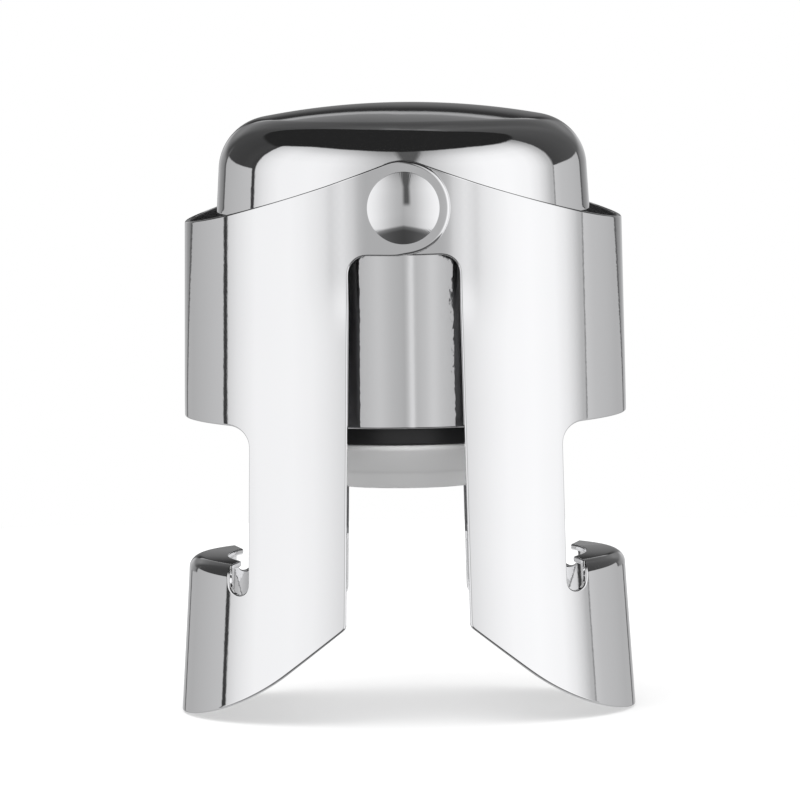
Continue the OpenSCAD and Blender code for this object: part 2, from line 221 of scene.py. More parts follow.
def cap_shell(inset):
    """The cap's outer face, moved inward: a wide sphere over the crown and an arc for the shoulder, which touches the
    crown and the leaning wall. The shoulder's centre (cx, cz) is shoulder_r inside the wall's line and
    crown_r - shoulder_r from the crown's own centre."""
    lean = math.tan(CAP_LEAN)
    a = CAP_R - SHOULDER_R / math.cos(CAP_LEAN) + ROLL_Z * lean
    crown_z, reach = CAP_RISE - CROWN_R, CROWN_R - SHOULDER_R
    b = crown_z + a * lean
    cz = (b + math.sqrt(b * b - (1 + lean * lean) * (a * a + crown_z**2 - reach**2))) / (1 + lean * lean)
    cx = a - cz * lean
    turn = math.atan2(cx, cz - crown_z)
    over = np.linspace(0, turn, 48)
    crown = np.column_stack([(CROWN_R - inset) * np.sin(over), crown_z + (CROWN_R - inset) * np.cos(over)])
    bend = np.linspace(turn, math.pi / 2 - CAP_LEAN, 64)[1:]
    shoulder = np.column_stack([cx + (SHOULDER_R - inset) * np.sin(bend), cz + (SHOULDER_R - inset) * np.cos(bend)])
    return np.vstack([crown, shoulder])


a = np.linspace(0, math.pi, 24)
roll = np.column_stack([CAP_R - ROLL_R + ROLL_R * np.cos(a), ROLL_Z - ROLL_R * np.sin(a)])
roll_end = [[CAP_R - CAP_ROLL, -CAP_DROP + 0.6], [CAP_R - CAP_T - 0.05, -CAP_DROP + 0.66]]
cap_profile = np.vstack([cap_shell(0), roll, roll_end, cap_shell(CAP_T)[::-1]])
cap = turned_piece("pressed_cap", finer(cap_profile, 1.5)[::-1], around=288)

# %% [markdown]
# ### Sleeve, plunger and seal
# The sleeve is a plain tube that the plunger slides in. Under it shows the plunger's rim as a black ring, and under that
# the soft seal, whose cone seats in the bottle's mouth.

# %% Make the sleeve
SLEEVE_R, SLEEVE_T, SLEEVE_DROP, SLEEVE_TOP = 15.2, 0.5, 22.4, -1.9
BORE_R, SEAM_Z = SLEEVE_R - SLEEVE_T, -12
# the profile starts and ends halfway down the outer face, so that every corner is rounded
tube = [(SLEEVE_R, SEAM_Z, 0), (SLEEVE_R, SLEEVE_TOP, 0.12), (BORE_R, SLEEVE_TOP, 0.12),
        (BORE_R, -SLEEVE_DROP, 0.16), (SLEEVE_R, -SLEEVE_DROP, 0.22), (SLEEVE_R, SEAM_Z, 0)]
sleeve = turned_piece("inner_sleeve", finer(rounded(tube), 1.0), closed=True)

# %% Make the plunger
PLUNGER_R, DISC_LOW, DISC_H, STEM_R, STEM_TOP = 14.4, -24.1, 3.5, 2.3, 0.7
GROOVE_Z, GROOVE_H, GROOVE_R = -1.2, 0.8, 1.7
BUTTON_R, BUTTON_H = 3.05, 2.05
disc = [(0, STEM_TOP, 0), (STEM_R, STEM_TOP, 0.3), (STEM_R, GROOVE_Z + GROOVE_H, 0),
        (GROOVE_R, GROOVE_Z + GROOVE_H, 0), (GROOVE_R, GROOVE_Z, 0), (STEM_R, GROOVE_Z, 0),
        (STEM_R, DISC_LOW + DISC_H, 0.4), (PLUNGER_R, DISC_LOW + DISC_H, 0.3), (PLUNGER_R, DISC_LOW, 0.25),
        (BUTTON_R, DISC_LOW, 0.05), (BUTTON_R, DISC_LOW + BUTTON_H, 0.05), (0, DISC_LOW + BUTTON_H, 0)]
plunger = turned_piece("black_plunger", finer(rounded(disc)))

# %% Make the seal
SEAL_R, SEAL_BAND, CONE_H, PLUG_TOP_R, PLUG_H, PLUG_R = 14.15, 0.5, 3.1, 9.5, 1.75, 7.6
KNOB_R, KNOB_H, SEAL_LOW = 3.0, 2.0, DISC_LOW - CONE_H - PLUG_H
rubber = [(0, DISC_LOW + KNOB_H, 0), (KNOB_R, DISC_LOW + KNOB_H, 0.2), (KNOB_R, DISC_LOW, 0.05),
          (SEAL_R, DISC_LOW, 0.12), (SEAL_R, DISC_LOW - SEAL_BAND, 0.5), (PLUG_TOP_R, DISC_LOW - CONE_H, 0.5),
          (PLUG_R, SEAL_LOW, 0.6), (0, SEAL_LOW, 0)]
seal = turned_piece("soft_seal", finer(rounded(rubber), 0.5))

# %% [markdown]
# ### Spring
# One wire of circular section, wound with a closed turn at each end. Its middle line is
# $(R\cos 2\pi t,\; R\sin 2\pi t,\; z(t))$, with t in turns: z rises by just over the wire's thickness in the first
# and last turn and evenly between them. It keeps one length and rides with the head.

# %% Wind the spring
SPRING_R, WIRE_R, TURNS, STROKE = 5.6, 0.5, 7, 7.0
TURN_GAP, STEPS, SIDES = 0.03, 72, 16
spring_box = np.array([list(corner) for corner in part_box("spring")]) / MM
SPRING_LOW, SPRING_HIGH = float(spring_box[0][2]), float(spring_box[1][2])
t = np.linspace(0, TURNS, TURNS * STEPS + 1)
closed, whole = 2 * WIRE_R + TURN_GAP, SPRING_HIGH - SPRING_LOW - 2 * WIRE_R
rise = np.interp(t, [0, 1, TURNS - 1, TURNS], [0, closed, whole - closed, whole])
outwards = np.column_stack([np.cos(2 * np.pi * t), np.sin(2 * np.pi * t), 0 * t])
middle = SPRING_R * outwards + np.column_stack([0 * t, 0 * t, SPRING_LOW + WIRE_R + rise])
across = np.cross(unit(np.gradient(middle, axis=0)), outwards)
a = np.linspace(0, 2 * np.pi, SIDES, endpoint=False)[:, None]
normals = (outwards[:, None] * np.cos(a) + across[:, None] * np.sin(a)).reshape(-1, 3)
points = np.repeat(middle, SIDES, axis=0) + WIRE_R * normals
section = np.arange(SIDES)
band = np.column_stack([section, np.roll(section, -1), np.roll(section, -1) + SIDES, section + SIDES])
faces = [quad for k in range(len(t) - 1) for quad in (band + k * SIDES).tolist()]
faces += [section[::-1].tolist(), (section + (len(t) - 1) * SIDES).tolist()]
if outward(points, faces) < 0:
    faces = [f[::-1] for f in faces]
coil = make_piece("coil_spring", points, faces, normals)
print(f"spring from {SPRING_LOW:.2f} to {SPRING_HIGH:.2f} mm")

# %% [markdown]
# ### Rivets
# Each rivet has a high domed head and a shank that ends in the core. The dome is a small convex mirror that shows the
# whole studio, so it is a true part of a sphere with a softened foot. Both rivets are one object, as they are one node.

# %% Make the rivets
HEAD_R, HEAD_SPHERE_R, HEAD_BASE, SHANK_R, SHANK_END = 3.6, 3.85, 21.46, 1.6, 13.6
sink = math.sqrt(HEAD_SPHERE_R**2 - HEAD_R**2)
a = np.linspace(0, math.asin(HEAD_R / HEAD_SPHERE_R), 48)
dome = np.column_stack([HEAD_SPHERE_R * np.sin(a), HEAD_BASE - sink + HEAD_SPHERE_R * np.cos(a)])
foot = rounded([(*dome[-1], 0), (HEAD_R, HEAD_BASE, 0.12), (SHANK_R, HEAD_BASE, 0), (SHANK_R, SHANK_END, 0.2),
                (0, SHANK_END, 0)])
dome[-1] = foot[0]
points, faces, normals = turned(np.vstack([dome, finer(foot[1:])]), 128)
if outward(points, faces) < 0:
    faces, normals = [f[::-1] for f in faces], -normals


def front_and_rear(v):
    """The profile's axis laid along -Y for the front rivet, and the same turned by half a turn for the rear one."""
    laid = np.column_stack([v[:, 0], -v[:, 2], v[:, 1]])
    return np.vstack([laid, laid * [-1, -1, 1]])


both_faces = faces + [[i + len(points) for i in f] for f in faces]
rivets = make_piece("domed_rivets", front_and_rear(points) + [0, 0, PIVOT_Z], both_faces, front_and_rear(normals))

# %% [markdown]
# ## Arms
# Each arm is one pressing: a half-round wall, ears at front and rear, a waist cut from its side, and a lip bent inward
# along the waist's lower edge. A boolean cut would leave a rough mesh, and chrome would show it. So the arm is made as a
# flat blank, as in the press: a drawing with smooth outlines, which a formula then bends into the finished form.

# %% The bending formula
BLANK_R = 21.8
SIDE = math.pi / 2
BEND_LENGTH = BEND_R * math.pi / 2
WALL_SOFT, FLAT_SOFT, FLAT_START, FLAT_COMES_IN, LEAST_COS = 0.8, 0.12, 10.5, 4.5, 0.2
TAB_HALF, TAB_TOP = math.radians(41.4), -29


def soft_ramp(u, width):
    """A corner-free max(u, 0): width * log(1 + exp(u / width))."""
    return width * np.logaddexp(0, u / width)


def smooth_step(u):
    """Goes from 0 to 1 as u does, with level ends: u squared times (3 - 2u)."""
    u = np.clip(u, 0, 1)
    return u * u * (3 - 2 * u)


def wall_radius(z):
    """The wall narrows a little down to the band's lower edge, more down to the lip, and widens again to the foot. Each
    change of slope is soft: the radius is that at the lip, plus one ramp for each slope."""
    to_band, to_lip = (ARM_R - BAND_R) / BAND_DROP, (BAND_R - LIP_WALL_R) / (LIP_DROP - BAND_DROP)
    widening = (FOOT_R - LIP_WALL_R) / (FOOT_DROP - LIP_DROP)
    radius = LIP_WALL_R + to_lip * soft_ramp(z + LIP_DROP, WALL_SOFT)
    radius = radius + (to_band - to_lip) * soft_ramp(z + BAND_DROP, WALL_SOFT)
    return radius + widening * soft_ramp(-z - LIP_DROP, WALL_SOFT)


def face_radius(turn, z):
    """The wall's radius, brought down to the flat fronts near the ears: a soft minimum of the wall and of
    FLAT_Y / |cos(turn)|, which comes in over a few millimetres of height."""
    wall = wall_radius(z)
    flat = FLAT_Y / np.maximum(np.abs(np.cos(turn)), LEAST_COS)
    near = flat - soft_ramp(flat - wall, FLAT_SOFT)
    return wall + (near - wall) * smooth_step((z + FLAT_START) / FLAT_COMES_IN)


def bend_blank(across, up):
    """Blank point (across, up) goes to turn = across / BLANK_R and to height up. Past the bend line, on the tab, it
    follows the bend's arc and then runs level towards the axis: radius c + r cos(t) and height BEND_Z + r sin(t), with t
    the length past the line over the bend's radius."""
    turn = across / BLANK_R
    past = up - BEND_Z
    tab = (past > 0) & (np.abs(turn - SIDE) < TAB_HALF) & (up < TAB_TOP)
    t = np.clip(past / BEND_R, 0, math.pi / 2)
    centre = wall_radius(np.float64(BEND_Z)) - BEND_R
    on_tab = centre + BEND_R * np.cos(t) - np.maximum(past - BEND_LENGTH, 0)
    radius = np.where(tab, on_tab, face_radius(turn, up))
    height = np.where(tab, BEND_Z + BEND_R * np.sin(t), up)
    return np.stack([radius * np.sin(turn), -radius * np.cos(turn), height], axis=-1)


def blank_normal(across, up, h=0.01):
    """The outer face's normal: the cross product of the two directions, each from points h to either side."""
    along = bend_blank(across + h, up) - bend_blank(across - h, up)
    upward = bend_blank(across, up + h) - bend_blank(across, up - h)
    return unit(np.cross(along, upward))


print(f"tab: bend line at {BEND_Z:.1f} mm, {BEND_LENGTH:.2f} mm of sheet in the bend")

# %% [markdown]
# The drawing's lines are known from the front, as distances from the middle plane. To reach the blank, each is turned
# into the angle at which the bent wall has that distance.

# %% From the front view to the blank
ROUNDS = 12


def on_blank(x, z):
    """Finds turn so that radius(turn, z) * sin(turn) = x, by repeating turn = asin(x / radius)."""
    turn = np.arcsin(np.clip(x / ARM_R, -1, 1))
    for _ in range(ROUNDS):
        turn = np.arcsin(np.clip(x / face_radius(turn, z), -1, 1))
    return np.column_stack([turn * BLANK_R, z])


def arc(cx, cz, r, start, end, n=40):
    """Part of a circle in the front view, by angles in degrees."""
    a = np.radians(np.linspace(start, end, n))
    return np.column_stack([cx + r * np.cos(a), cz + r * np.sin(a)])


def line(a, b, n=60):
    """Points on a straight line."""
    t = np.linspace(0, 1, n)[:, None]
    return np.asarray(a) * (1 - t) + np.asarray(b) * t


# %% The outline: top edge, ear, window and foot
dx, dz = ARM_R - TOP_IN[0], TOP_IN[1] + TOP_SIDE_DROP
chord = math.hypot(dx, dz)
top_rise = math.sqrt(TOP_CURVE_R**2 - chord**2 / 4)
top_c = ((ARM_R + TOP_IN[0]) / 2 + dz / chord * top_rise, (TOP_IN[1] - TOP_SIDE_DROP) / 2 + dx / chord * top_rise)
foot_bend_z = -FOOT_IN_DROP - (FOOT_BEND_X - WINDOW_HALF) * math.tan(FOOT_SLOPE)
foot_c = (FOOT_BEND_X + FOOT_CURVE_R * math.sin(FOOT_SLOPE), foot_bend_z + FOOT_CURVE_R * math.cos(FOOT_SLOPE))


def top_edge(x):
    """Height of the arm's top edge: the lower part of a very wide circle."""
    return top_c[1] - np.sqrt(TOP_CURVE_R**2 - (x - top_c[0]) ** 2)


def foot_edge(x):
    """Height of the foot's lower edge: a slope, and past its bend a circle."""
    slope = -FOOT_IN_DROP - (x - WINDOW_HALF) * math.tan(FOOT_SLOPE)
    return np.where(x < FOOT_BEND_X, slope, foot_c[1] - np.sqrt(FOOT_CURVE_R**2 - (x - foot_c[0]) ** 2))


def edge_by_turn(height_at, start, end, n=160):
    """An edge given by its height at each distance, followed by turn, because near the side the distance hardly
    changes."""
    turn = np.radians(np.linspace(start, end, n))
    z = np.zeros(n)
    for _ in range(ROUNDS):
        z = height_at(face_radius(turn, z) * np.sin(turn))
    return np.column_stack([turn * BLANK_R, z])


ear_turn = math.degrees(on_blank(np.array([TOP_IN[0]]), np.array([TOP_IN[1]]))[0, 0] / BLANK_R)
foot_turn = math.degrees(math.asin(WINDOW_HALF / float(wall_radius(np.float64(-FOOT_IN_DROP)))))
ear_start = math.degrees(math.atan2(TOP_IN[1], TOP_IN[0]))
# each stretch stops a little short of the next one, and a short straight line joins the two
EAR_SHORT, TOP_SHORT, FOOT_SHORT = 4, 0.5, 0.2
front_view = np.vstack([
    arc(0, 0, EAR_R, ear_start + EAR_SHORT, 270, 120),
    line((0.3, -WINDOW_DROP), (WINDOW_HALF - WINDOW_CORNER_R, -WINDOW_DROP), 12),
    arc(WINDOW_HALF - WINDOW_CORNER_R, -WINDOW_DROP - WINDOW_CORNER_R, WINDOW_CORNER_R, 90, 0, 16)[1:],
    line((WINDOW_HALF, -WINDOW_DROP - WINDOW_CORNER_R - 0.3), (WINDOW_HALF, -FOOT_IN_DROP + 0.1), 120),
])
front_half = np.vstack([edge_by_turn(top_edge, 90, ear_turn + TOP_SHORT), on_blank(*front_view.T),
                        edge_by_turn(foot_edge, foot_turn + FOOT_SHORT, 90)])
print(f"ear joins the top edge at {ear_turn:.1f} degrees, the foot starts at {foot_turn:.1f}")

# %% The waist: band, strips, notches and lip
notch_mid, notch_r = (STRIP_X + NOTCH_X) / 2, (NOTCH_X - STRIP_X) / 2
notch_z = -LIP_DROP - NOTCH_DEPTH + notch_r
bend_wall = float(wall_radius(np.float64(BEND_Z)))


def lip_line(start, end, n):
    """A line in plan, front at -y, that crosses the bend and the level lip: its radius gives how far past the bend line
    each point lies."""
    x, y = line(start, end, n).T
    radius = np.hypot(x, y)
    centre = bend_wall - BEND_R
    in_bend = BEND_R * np.arccos(np.clip((radius - centre) / BEND_R, -1, 1))
    past = np.where(radius > centre, in_bend, BEND_LENGTH + centre - radius)
    return np.column_stack([np.arctan2(x, -y) * BLANK_R, BEND_Z + past])


lip_end = math.atan2(LIP_END_X, LIP_END_Y)
corner = (LIP_R * math.sin(lip_end), -LIP_R * math.cos(lip_end))
wall_corner = (NOTCH_X, -math.sqrt(bend_wall**2 - NOTCH_X**2))
band_turn = math.degrees(math.asin((STRIP_X + BAND_CORNER_R) / float(wall_radius(np.float64(-BAND_DROP)))))
band_line = np.radians(np.linspace(90, band_turn, 120))
lip_turn = np.linspace(lip_end, math.pi / 2, 60)
waist_view = np.vstack([
    arc(STRIP_X + BAND_CORNER_R, -BAND_DROP - BAND_CORNER_R, BAND_CORNER_R, 90, 180, 24)[1:],
    line((STRIP_X, -BAND_DROP - BAND_CORNER_R - 0.2), (STRIP_X, notch_z + 0.1), 80),
    arc(notch_mid, notch_z, notch_r, 180, 360, 40),
    line((NOTCH_X, notch_z + 0.1), (NOTCH_X, BEND_Z - 0.05), 6),
])
waist_half = np.vstack([
    np.column_stack([band_line * BLANK_R, np.full(120, -BAND_DROP)]),
    on_blank(*waist_view.T),
    lip_line(wall_corner, corner, 60)[1:],
    np.column_stack([lip_turn * BLANK_R, np.full(60, BEND_Z + BEND_LENGTH + bend_wall - BEND_R - LIP_R)])[1:],
])
print(f"lip ends {math.degrees(lip_end):.1f} degrees from the front")

# %% Loops of the blank
def full_loop(half, step=0.2, soften=3):
    """Adds the rear half, which is the front half mirrored about the side, spaces the points evenly, and softens the
    corners by averaging each point with its neighbours a few times."""
    mirrored = np.column_stack([math.pi * BLANK_R - half[::-1, 0], half[::-1, 1]])
    loop = np.vstack([half, mirrored[1:-1]])
    closed = np.vstack([loop, loop[:1]])
    steps = np.linalg.norm(np.diff(closed, axis=0), axis=1)
    along = np.concatenate([[0], np.cumsum(steps)])
    at = np.linspace(0, along[-1], int(along[-1] / step), endpoint=False)
    loop = np.column_stack([np.interp(at, along, closed[:, k]) for k in (0, 1)])
    for _ in range(soften):
        loop = 0.5 * loop + 0.25 * (np.roll(loop, 1, axis=0) + np.roll(loop, -1, axis=0))
    return loop


def signed_area(loop):
    """Half the sum of x dy - y dx round the loop: positive when it runs anticlockwise."""
    nxt = np.roll(loop, -1, axis=0)
    return 0.5 * float((loop[:, 0] * nxt[:, 1] - loop[:, 1] * nxt[:, 0]).sum())


def ring(turn):
    """The rivet's hole in an ear, at the given turn."""
    a = np.linspace(0, 2 * math.pi, 56, endpoint=False)
    return np.column_stack([turn * BLANK_R + PIN_HOLE_R * np.cos(a) * BLANK_R / FLAT_Y, PIN_HOLE_R * np.sin(a)])


loops = [full_loop(front_half), full_loop(waist_half), ring(0.0), ring(math.pi)]
# the outline runs anticlockwise and the openings clockwise, so that the sheet is on the left of each
loops = [loop if (signed_area(loop) > 0) == (k == 0) else loop[::-1] for k, loop in enumerate(loops)]
blank_area = sum(signed_area(loop) for loop in loops)
print(f"blank area: {blank_area:.0f} mm2, loops of", [len(loop) for loop in loops], "points")

# %% [markdown]
# The sheet's edges look tumbled and polished, so they are made round, and rounder about the ears. The face
# stops a little short of each outline, and a strip of six rings carries the surface over the edge to the inner face.

# %% Edges and tests of the blank
EDGE_R, EAR_EDGE_R, EAR_EASE = 0.2, 0.38, 1.5
AT_ONCE = 400


def inset(loop, by):
    """The loop moved into the sheet: its outward direction is the tangent turned to the right."""
    tangent = unit(np.roll(loop, -1, axis=0) - np.roll(loop, 1, axis=0))
    return loop - by * np.column_stack([tangent[:, 1], -tangent[:, 0]])


def edge_radius(loop):
    """The radius of the outline's outer edge at each point: it grows softly where the sheet passes the rivet and becomes
    the ear."""
    past_rivet = np.abs(loop[:, 0] - SIDE * BLANK_R) - SIDE * BLANK_R
    return EDGE_R + (EAR_EDGE_R - EDGE_R) * smooth_step((past_rivet + EAR_EASE) / (2 * EAR_EASE))


def inside(points, loops):
    """Even-odd rule: a point is in the sheet if a ray from it crosses the loops an odd number of times."""
    odd = np.zeros(len(points), bool)
    for loop in loops:
        nxt = np.roll(loop, -1, axis=0)
        for k in range(0, len(loop), AT_ONCE):
            a, b = loop[k : k + AT_ONCE], nxt[k : k + AT_ONCE]
            spans = (a[:, 1] > points[:, None, 1]) != (b[:, 1] > points[:, None, 1])
            rise = np.where(np.abs(b[:, 1] - a[:, 1]) < 1e-12, 1e-12, b[:, 1] - a[:, 1])
            cross = a[:, 0] + (points[:, None, 1] - a[:, 1]) / rise * (b[:, 0] - a[:, 0])
            odd ^= (np.count_nonzero(spans & (points[:, None, 0] < cross), axis=1) % 2).astype(bool)
    return odd


def away(points, loops, least):
    """Keeps the points that are at least this far from every loop point."""
    keep = np.ones(len(points), bool)
    for loop in loops:
        for k in range(0, len(loop), AT_ONCE):
            part = loop[k : k + AT_ONCE]
            keep &= np.linalg.norm(points[:, None] - part[None], axis=2).min(axis=1) > least
    return points[keep]


def grid(low, high, step_x, step_y):
    """A staggered grid over a rectangle."""
    xs, ys = np.arange(low[0], high[0], step_x), np.arange(low[1], high[1], step_y)
    gx, gy = np.meshgrid(xs, ys)
    gx = gx + (np.arange(len(ys))[:, None] % 2) * step_x / 2
    return np.column_stack([gx.ravel(), gy.ravel()])


edges = [edge_radius(loops[0])[:, None]] + [EDGE_R] * 3
face_loops = [inset(loop, e) for loop, e in zip(loops, edges)]
print(f"edges of {EDGE_R} mm radius, {EAR_EDGE_R} mm about the ears")

# %% [markdown]
# A coarse grid of points is enough for the wall, which bends in one direction only. The strip that becomes the bend at
# the lip's root gets a finer one. A constrained triangulation then joins all points and keeps every outline.

# %% Fill the blank with triangles
COARSE_STEPS, FINE_STEPS, LEAST_GAP, MERGE = (0.65, 0.56), (0.5, 0.17), 0.22, 1e-7
COARSE_BELOW, COARSE_ABOVE, FINE_BELOW, FINE_ABOVE = 0.6, 0.5, 0.5, 0.45
FINE_FROM, FINE_TO = math.radians(48), math.radians(132)
coarse = grid(loops[0].min(axis=0), loops[0].max(axis=0), *COARSE_STEPS)
below, above = coarse[:, 1] < BEND_Z - COARSE_BELOW, coarse[:, 1] > BEND_Z + BEND_LENGTH + COARSE_ABOVE
beside = np.abs(coarse[:, 0] - SIDE * BLANK_R) > TAB_HALF * BLANK_R
fine = grid((FINE_FROM * BLANK_R, BEND_Z - FINE_BELOW),
            (FINE_TO * BLANK_R, BEND_Z + BEND_LENGTH + FINE_ABOVE), *FINE_STEPS)
filling = np.vstack([coarse[below | above | beside], fine])
filling = away(filling[inside(filling, face_loops)], face_loops, LEAST_GAP)
blank_points = np.vstack(face_loops + [filling])
starts = np.concatenate([[0], np.cumsum([len(loop) for loop in face_loops])])
fences = [(s + i, s + (i + 1) % n) for s, n in zip(starts, map(len, face_loops)) for i in range(n)]
given = [Vector(p) for p in blank_points.tolist()]
made, _, triangles, origin, _, _ = geometry.delaunay_2d_cdt(given, fences, [], 0, MERGE)
triangles = np.array(triangles)
middles = np.array([v[:] for v in made])[triangles].mean(axis=1)
triangles = triangles[inside(middles, face_loops)]
print(f"filled with {len(triangles)} triangles on {len(made)} points, of {len(blank_points)} given")

# %% Bend the blank and close its edges
def bent_arm():
    """Outer face P, inner face P - t n, and between them rings over the rounded edge:
    B - e (1 - sin a) m - e (1 - cos a) n, where B is on the outline, m points out of the sheet in its own plane, n is the
    face's normal, e the edge's radius, and a goes from face to edge."""
    flat = np.array([v[:] for v in made])
    outer, normal = bend_blank(*flat.T), blank_normal(*flat.T)
    points, normals = [outer, outer - SHEET * normal], [normal, -normal]
    faces = triangles.tolist() + (triangles[:, ::-1] + len(flat)).tolist()
    lookup = {}
    for new, old in enumerate(origin):
        for o in old:
            lookup[o] = new
    count = 2 * len(flat)
    for loop, start, e in zip(loops, starts, edges):
        number = np.array([lookup[start + i] for i in range(len(loop))])
        edge, n = bend_blank(*loop.T), blank_normal(*loop.T)
        m = edge - outer[number]
        m = unit(m - n * np.einsum("ij,ij->i", m, n)[:, None])
        rows = [number]
        for a in np.radians([30, 60, 90]):
            points.append(edge - e * (1 - math.sin(a)) * m - e * (1 - math.cos(a)) * n)
            normals.append(unit(math.sin(a) * m + math.cos(a) * n))
        for a in np.radians([90, 60, 30]):
            points.append(edge - EDGE_R * (1 - math.sin(a)) * m - (SHEET - EDGE_R * (1 - math.cos(a))) * n)
            normals.append(unit(math.sin(a) * m - math.cos(a) * n))
        rows += [count + k * len(loop) + np.arange(len(loop)) for k in range(6)] + [number + len(flat)]
        count += 6 * len(loop)
        for a, b in zip(rows[:-1], rows[1:]):
            faces += np.column_stack([np.roll(a, -1), a, b, np.roll(b, -1)]).tolist()
    return np.vstack(points), faces, np.vstack(normals)


arm_points, arm_faces, arm_normals = bent_arm()
print("one arm's steel:", round(outward(arm_points, arm_faces), 1), "mm3")

# %% [markdown]
# In the photograph the lips grow darker to the front, as a lip does that is slightly crowned from front to rear. A crown
# of 3 degrees at 7 mm from the middle gives that. It is put in the normals alone, with no shape behind it.

# %% Crown the lips
LIP_CROWN, CROWN_AT, CROWN_END = math.radians(3), 7.0, 1.25
LEVEL_FROM, LEVEL_FULL, LIP_MIDDLE, LIP_BAND = 0.8, 1.0, -LIP_DROP - 0.4, 0.55
level = smooth_step((arm_normals[:, 2] - LEVEL_FROM) / (LEVEL_FULL - LEVEL_FROM))
level = level * (np.abs(arm_points[:, 2] - LIP_MIDDLE) < LIP_BAND)
arm_normals[:, 1] += level * LIP_CROWN * np.clip(arm_points[:, 1] / CROWN_AT, -CROWN_END, CROWN_END)
arm_normals = unit(arm_normals)
print("crowned", int((level > 0).sum()), "points of the lip")

# %% [markdown]
# Both arms are the same pressing. It stands out from upright by the splay and is set off a little along the rivets, so
# that one ear of each lies over the other's. The left arm is the right one turned by half a turn.

# %% Place the two arms
def placed(v, move):
    """Shift along y, lean outward by the splay about the pivot, then lift to the pivot's height. Normals only lean, so
    they are given with move 0 and points with move 1."""
    x, y, z = (v + [0, EAR_SHIFT * move, 0]).T
    c, s = math.cos(SPLAY), math.sin(SPLAY)
    return np.column_stack([x * c - z * s, y, x * s + z * c + PIVOT_Z * move])


right_points, right_normals = placed(arm_points, 1), placed(arm_normals, 0)
half_turn = np.array([-1, -1, 1])
right_arm = make_piece("right_hooked_arm", right_points, arm_faces, right_normals)
left_arm = make_piece("left_hooked_arm", right_points * half_turn, arm_faces, right_normals * half_turn)

# %% [markdown]
# ## Finishes
# Shader nodes are wired in Python. A small class lets sums and products of sockets be written as plain expressions.

# %% Sockets as numbers
class Wire:
    """A socket that can be added, multiplied and compared like a number: each operator adds a Math node."""

    def __init__(self, shop, socket):
        self.shop, self.socket = shop, socket

    def __add__(self, o): return self.shop.maths("ADD", self, o)
    def __radd__(self, o): return self.shop.maths("ADD", o, self)
    def __sub__(self, o): return self.shop.maths("SUBTRACT", self, o)
    def __rsub__(self, o): return self.shop.maths("SUBTRACT", o, self)
    def __mul__(self, o): return self.shop.maths("MULTIPLY", self, o)
    def __rmul__(self, o): return self.shop.maths("MULTIPLY", o, self)
    def __truediv__(self, o): return self.shop.maths("DIVIDE", self, o)
    def __gt__(self, o): return self.shop.maths("GREATER_THAN", self, o)
    def __lt__(self, o): return self.shop.maths("LESS_THAN", self, o)


# %% Nodes in a tree
class Shop:
    """Adds nodes to one tree, which is emptied first unless it is kept."""

    def __init__(self, tree, keep=False):
        self.tree = tree
        if not keep:
            tree.nodes.clear()

    def node(self, kind, inputs=None, out=0, stops=None, **settings):
        """Adds one node: its settings and ramp stops first, then the values or wires of its inputs. Gives back one
        output."""
        n = self.tree.nodes.new(kind)
        for name, value in settings.items():
            setattr(n, name, value)
        if stops:
            ramp = n.color_ramp
            while len(ramp.elements) > 1:
                ramp.elements.remove(ramp.elements[-1])
            ramp.elements[0].position, ramp.elements[0].color = stops[0][0], (*[stops[0][1]] * 3, 1)
            for position, level in stops[1:]:
                ramp.elements.new(position).color = (level, level, level, 1)
        for name, value in (inputs or {}).items():
            if isinstance(value, Wire):
                self.tree.links.new(value.socket, n.inputs[name])
            else:
                n.inputs[name].default_value = value
        return Wire(self, n.outputs[out])

    def maths(self, operation, *values):
        return self.node("ShaderNodeMath", dict(enumerate(values)), operation=operation)

    def here(self, what="Object"):
        """The point's place on its object, or its normal there."""
        return self.node("ShaderNodeTexCoord", out=what)

    def parts(self, vector):
        split = self.node("ShaderNodeSeparateXYZ", {"Vector": vector}).socket.node
        return [Wire(self, split.outputs[k]) for k in range(3)]

    def noise(self, size_mm, detail, roughness=0.5, at=None):
        inputs = {"Vector": at or self.here(), "Scale": 1 / (size_mm * MM), "Detail": detail, "Roughness": roughness}
        return self.node("ShaderNodeTexNoise", inputs)

    def blend(self, factor, a, b):
        return self.node("ShaderNodeMix", {"Factor": factor, "A": a, "B": b}, out=2, data_type="RGBA")

    def bump(self, height, strength, depth_mm):
        return self.node("ShaderNodeBump", {"Strength": strength, "Distance": depth_mm * MM, "Height": height})

    def step(self, value, low, high):
        """0 below low, 1 above high and smooth between them."""
        inputs = {"Value": value, "From Min": low, "From Max": high}
        return self.node("ShaderNodeMapRange", inputs, interpolation_type="SMOOTHSTEP")

    def rays(self, *kinds):
        path = self.node("ShaderNodeLightPath").socket.node
        return [Wire(self, path.outputs[f"Is {kind} Ray"]) for kind in kinds]

    def plug(self, node, **wires):
        """Links wires to inputs of a node, named with _ for each space."""
        for name, wire in wires.items():
            self.tree.links.new(wire.socket, node.inputs[name.replace("_", " ")])

    def finish(self, surface, kind="ShaderNodeOutputMaterial"):
        self.plug(self.tree.nodes.new(kind), Surface=surface)


def finish_material(name, **constants):
    """A new material with a Principled BSDF whose plain values are set on its own sockets."""
    m = bpy.data.materials.new(name)
    m.use_nodes = True
    shop = Shop(m.node_tree)
    bsdf = shop.node("ShaderNodeBsdfPrincipled", {key.replace("_", " "): value for key, value in constants.items()})
    shop.finish(bsdf)
    print("material", name)
    return m, shop, bsdf.socket.node


print("shader helpers ready")

# %% [markdown]
# ### Mirror chrome
# Chrome plate has almost no colour of its own: it is a near-perfect mirror with a very slightly cool tint. Pressed and
# polished sheet is never quite flat, so a faint, slow unevenness bends the reflections, and fine polishing haze softens
# them a little here and there.

